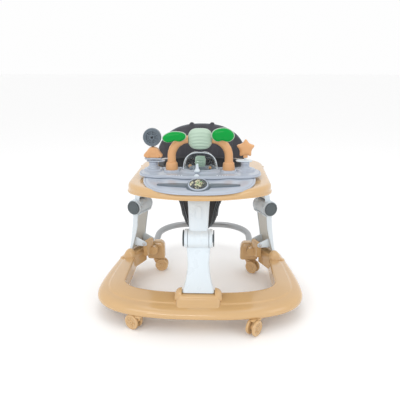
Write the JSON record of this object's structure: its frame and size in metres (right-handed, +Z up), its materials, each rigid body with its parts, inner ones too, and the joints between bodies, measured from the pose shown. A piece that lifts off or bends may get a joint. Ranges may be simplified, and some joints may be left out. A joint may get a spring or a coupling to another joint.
{
  "type": "baby walker",
  "caption": "Folding baby walker with a U-shaped base on casters, knee-hinged legs, a toy tray with an arch, and a sling seat.",
  "frame": {"origin": "on the floor, under the middle of the walker's outline", "axes": "+X towards the right of the front view, +Y towards the back (the rear tube), +Z up"},
  "size_m": [0.676, 0.7212, 0.5902],
  "materials": {
    "tan_plastic": "glossy peach-tan moulded polypropylene",
    "white_plastic": "smooth cool white moulded plastic",
    "dark_grey_plastic": "satin dark grey plastic",
    "light_grey_plastic": "smooth light blue-grey plastic",
    "green_plastic": "high gloss green",
    "mint_plastic": "satin pale mint",
    "tube_steel": "silver-grey powder coat",
    "pin_steel": "bright zinc",
    "clear_plastic": "clear moulded plastic",
    "seat_fabric": "charcoal woven polyester"
  },
  "bodies": {
    "base": {"base_shell": "tan_plastic", "rear_tube": "tube_steel", "rear_block_left": "tan_plastic", "rear_block_right": "tan_plastic", "front_foot_pin": "pin_steel", "left_foot_pin": "pin_steel", "right_foot_pin": "pin_steel"},
    "caster_front_left": {"caster_plate_front_left": "tan_plastic", "caster_stem_front_left": "pin_steel"},
    "wheels_front_left": {"caster_wheels_front_left": "tan_plastic"},
    "caster_front_right": {"caster_plate_front_right": "tan_plastic", "caster_stem_front_right": "pin_steel"},
    "wheels_front_right": {"caster_wheels_front_right": "tan_plastic"},
    "caster_rear_left": {"caster_plate_rear_left": "tan_plastic", "caster_stem_rear_left": "pin_steel"},
    "wheels_rear_left": {"caster_wheels_rear_left": "tan_plastic"},
    "caster_rear_right": {"caster_plate_rear_right": "tan_plastic", "caster_stem_rear_right": "pin_steel"},
    "wheels_rear_right": {"caster_wheels_rear_right": "tan_plastic"},
    "front_lower": {"front_lower_leg": "white_plastic", "front_knee_pin": "pin_steel"},
    "front_upper": {"front_upper_arm": "white_plastic"},
    "left_lower": {"left_lower_leg": "white_plastic", "left_knee_pin": "pin_steel"},
    "left_upper": {"left_upper_arm": "white_plastic"},
    "right_lower": {"right_lower_leg": "white_plastic", "right_knee_pin": "pin_steel"},
    "right_upper": {"right_upper_arm": "white_plastic"},
    "tray": {"tray_shell": "tan_plastic", "music_tray": "light_grey_plastic", "music_tray_top": "light_grey_plastic", "badge_bezel": "dark_grey_plastic", "badge_window": "clear_plastic", "dome_base": "light_grey_plastic", "dome_cover": "clear_plastic", "arch_tube_left": "tan_plastic", "arch_tube_right": "tan_plastic", "arch_shell": "mint_plastic", "leaf_left": "green_plastic", "leaf_right": "green_plastic", "left_post": "light_grey_plastic", "right_post": "light_grey_plastic", "seat_back": "seat_fabric", "seat_sling": "seat_fabric", "front_tray_pin": "pin_steel", "left_tray_pin": "pin_steel", "right_tray_pin": "pin_steel"},
    "front_button_a": {"front_knee_button_a": "dark_grey_plastic"},
    "front_button_b": {"front_knee_button_b": "dark_grey_plastic"},
    "left_button_a": {"left_knee_button_a": "dark_grey_plastic"},
    "left_button_b": {"left_knee_button_b": "dark_grey_plastic"},
    "right_button_a": {"right_knee_button_a": "dark_grey_plastic"},
    "right_button_b": {"right_knee_button_b": "dark_grey_plastic"},
    "roller": {"dome_roller": "green_plastic"},
    "joystick": {"joystick": "white_plastic"},
    "left_toy": {"left_lever": "light_grey_plastic", "left_car": "tan_plastic"},
    "toy_wheel": {"left_toy_wheel": "dark_grey_plastic"},
    "right_toy": {"right_arm": "white_plastic"},
    "star": {"right_star": "tan_plastic"}
  },
  "joints": [
    {"name": "swivel_front_left", "type": "hinge", "parent": "base", "child": "caster_front_left", "pos_m": [-0.18, -0.322, 0.05], "axis": [0, 0, 1], "continuous": true},
    {"name": "roll_front_left", "type": "hinge", "parent": "caster_front_left", "child": "wheels_front_left", "pos_m": [-0.19732, -0.312, 0.0245], "axis": [-0.5, -0.866, 0], "continuous": true},
    {"name": "swivel_front_right", "type": "hinge", "parent": "base", "child": "caster_front_right", "pos_m": [0.18, -0.322, 0.05], "axis": [0, 0, 1], "continuous": true},
    {"name": "roll_front_right", "type": "hinge", "parent": "caster_front_right", "child": "wheels_front_right", "pos_m": [0.16796, -0.33797, 0.0245], "axis": [0.7986, -0.6018, 0], "continuous": true},
    {"name": "swivel_rear_left", "type": "hinge", "parent": "base", "child": "caster_rear_left", "pos_m": [-0.18, 0.106, 0.05], "axis": [0, 0, 1], "continuous": true},
    {"name": "roll_rear_left", "type": "hinge", "parent": "caster_rear_left", "child": "wheels_rear_left", "pos_m": [-0.16, 0.106, 0.0245], "axis": [0, 1, 0], "continuous": true},
    {"name": "swivel_rear_right", "type": "hinge", "parent": "base", "child": "caster_rear_right", "pos_m": [0.18, 0.106, 0.05], "axis": [0, 0, 1], "continuous": true},
    {"name": "roll_rear_right", "type": "hinge", "parent": "caster_rear_right", "child": "wheels_rear_right", "pos_m": [0.19597, 0.09396, 0.0245], "axis": [0.6018, 0.7986, 0], "continuous": true},
    {"name": "fold", "type": "hinge", "parent": "base", "child": "front_lower", "pos_m": [0, -0.236, 0.138], "axis": [-1, 0, 0], "range_deg": [0, 62], "deforming": ["seat_sling"]},
    {"name": "front_knee_hinge", "type": "hinge", "parent": "front_lower", "child": "front_upper", "pos_m": [0, -0.266, 0.278], "axis": [-1, 0, 0], "range_deg": [-124, 0]},
    {"name": "left_foot_hinge", "type": "hinge", "parent": "base", "child": "left_lower", "pos_m": [-0.2037, 0.0574, 0.138], "axis": [0.4195, 0.9078, 0], "range_deg": [0, 62]},
    {"name": "left_knee_hinge", "type": "hinge", "parent": "left_lower", "child": "left_upper", "pos_m": [-0.23093, 0.06998, 0.278], "axis": [0.4195, 0.9078, 0], "range_deg": [-124, 0]},
    {"name": "right_foot_hinge", "type": "hinge", "parent": "base", "child": "right_lower", "pos_m": [0.2037, 0.0574, 0.138], "axis": [0.4195, -0.9078, 0], "range_deg": [0, 62]},
    {"name": "right_knee_hinge", "type": "hinge", "parent": "right_lower", "child": "right_upper", "pos_m": [0.23093, 0.06998, 0.278], "axis": [0.4195, -0.9078, 0], "range_deg": [-124, 0]},
    {"name": "tray_hinge", "type": "hinge", "parent": "front_upper", "child": "tray", "pos_m": [0, -0.236, 0.418], "axis": [-1, 0, 0], "range_deg": [0, 62]},
    {"name": "front_button_a_press", "type": "slide", "parent": "front_lower", "child": "front_button_a", "axis": [1, 0, 0], "range_m": [0, 0.002], "stiffness_N_per_m": 400},
    {"name": "front_button_b_press", "type": "slide", "parent": "front_lower", "child": "front_button_b", "axis": [-1, 0, 0], "range_m": [0, 0.002], "stiffness_N_per_m": 400},
    {"name": "left_button_a_press", "type": "slide", "parent": "left_lower", "child": "left_button_a", "axis": [-0.4195, -0.9078, 0], "range_m": [0, 0.002], "stiffness_N_per_m": 400},
    {"name": "left_button_b_press", "type": "slide", "parent": "left_lower", "child": "left_button_b", "axis": [0.4195, 0.9078, 0], "range_m": [0, 0.002], "stiffness_N_per_m": 400},
    {"name": "right_button_a_press", "type": "slide", "parent": "right_lower", "child": "right_button_a", "axis": [-0.4195, 0.9078, 0], "range_m": [0, 0.002], "stiffness_N_per_m": 400},
    {"name": "right_button_b_press", "type": "slide", "parent": "right_lower", "child": "right_button_b", "axis": [0.4195, -0.9078, 0], "range_m": [0, 0.002], "stiffness_N_per_m": 400},
    {"name": "roller_spin", "type": "hinge", "parent": "tray", "child": "roller", "pos_m": [0, -0.112, 0.4813], "axis": [1, 0, 0], "continuous": true},
    {"name": "joystick_tilt", "type": "hinge", "parent": "tray", "child": "joystick", "pos_m": [-0.008, -0.168, 0.4619], "axis": [1, 0, 0], "range_deg": [-10, 10], "stiffness_Nm_per_rad": 0.05},
    {"name": "left_toy_turn", "type": "hinge", "parent": "tray", "child": "left_toy", "pos_m": [-0.15, -0.116, 0.48], "axis": [0, 0, 1], "range_deg": [-90, 90]},
    {"name": "toy_wheel_spin", "type": "hinge", "parent": "left_toy", "child": "toy_wheel", "pos_m": [-0.152, -0.116, 0.5583], "axis": [0, 1, 0], "continuous": true},
    {"name": "right_toy_turn", "type": "hinge", "parent": "tray", "child": "right_toy", "pos_m": [0.143, -0.11, 0.48], "axis": [0, 0, 1], "range_deg": [-90, 90]},
    {"name": "star_spin", "type": "hinge", "parent": "right_toy", "child": "star", "pos_m": [0.143, -0.11, 0.4993], "axis": [0, 0, 1], "continuous": true}
  ],
  "couplings": [
    {"joint": "front_knee_hinge", "follows": "fold", "ratio": -2},
    {"joint": "left_foot_hinge", "follows": "fold", "ratio": 1},
    {"joint": "left_knee_hinge", "follows": "fold", "ratio": -2},
    {"joint": "right_foot_hinge", "follows": "fold", "ratio": 1},
    {"joint": "right_knee_hinge", "follows": "fold", "ratio": -2},
    {"joint": "tray_hinge", "follows": "fold", "ratio": 1}
  ]
}
